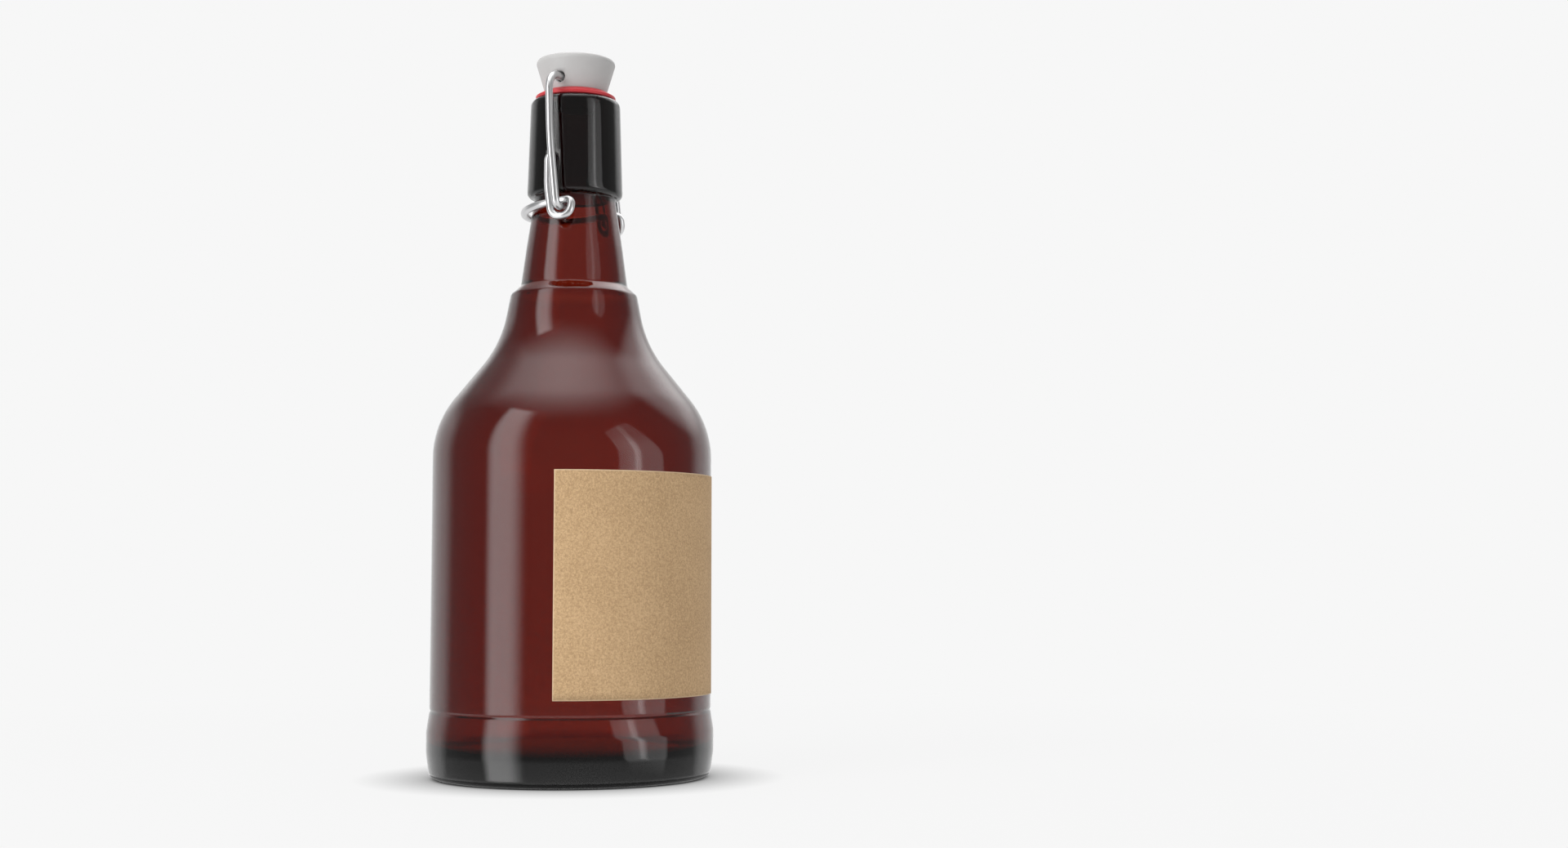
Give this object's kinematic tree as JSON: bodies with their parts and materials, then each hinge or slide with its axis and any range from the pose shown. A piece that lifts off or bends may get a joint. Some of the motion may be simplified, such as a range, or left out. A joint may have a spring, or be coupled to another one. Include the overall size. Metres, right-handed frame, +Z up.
{
  "type": "swing top bottle",
  "caption": "Amber glass bottle with a stepped neck, flared heel and kraft label, shut by a gasketed stopper on an over-centre wire bail and lever.",
  "frame": {"origin": "on the bottle's axis in the plane it stands on", "axes": "+Z up along the bottle's axis, X along the closure's hinges, -Y to the middle of the label, +Y to the thumb loop"},
  "size_m": [0.102, 0.102, 0.26],
  "materials": {
    "amber_glass": "clear amber red bottle glass, fire polished",
    "kraft_paper": "uncoated brown kraft paper, matt, with fine fibres",
    "spring_wire": "bright drawn stainless spring wire",
    "stopper_plastic": "satin off-white moulding",
    "red_rubber": "smooth red rubber"
  },
  "bodies": {
    "bottle": {"bottle": "amber_glass", "label": "kraft_paper"},
    "lever": {"lever_wire": "spring_wire"},
    "bail": {"bail_wire": "spring_wire"},
    "stopper": {"stopper": "stopper_plastic", "gasket": "red_rubber"}
  },
  "joints": [
    {"name": "lever_swing", "type": "hinge", "parent": "bottle", "child": "lever", "pos_m": [0, 0, 0.221], "axis": [1, 0, 0], "range_deg": [0, 84], "deforming": ["gasket"]},
    {"name": "bail_swing", "type": "hinge", "parent": "lever", "child": "bail", "pos_m": [0, -0.0055, 0.202], "axis": [1, 0, 0], "range_deg": [-53.54, 0]},
    {"name": "stopper_tilt", "type": "hinge", "parent": "bail", "child": "stopper", "pos_m": [0, 0, 0.2515], "axis": [1, 0, 0], "range_deg": [-30.86, 0]}
  ],
  "couplings": [
    {"joint": "bail_swing", "follows": "lever_swing", "ratio": -0.635},
    {"joint": "stopper_tilt", "follows": "lever_swing", "ratio": -0.365}
  ]
}
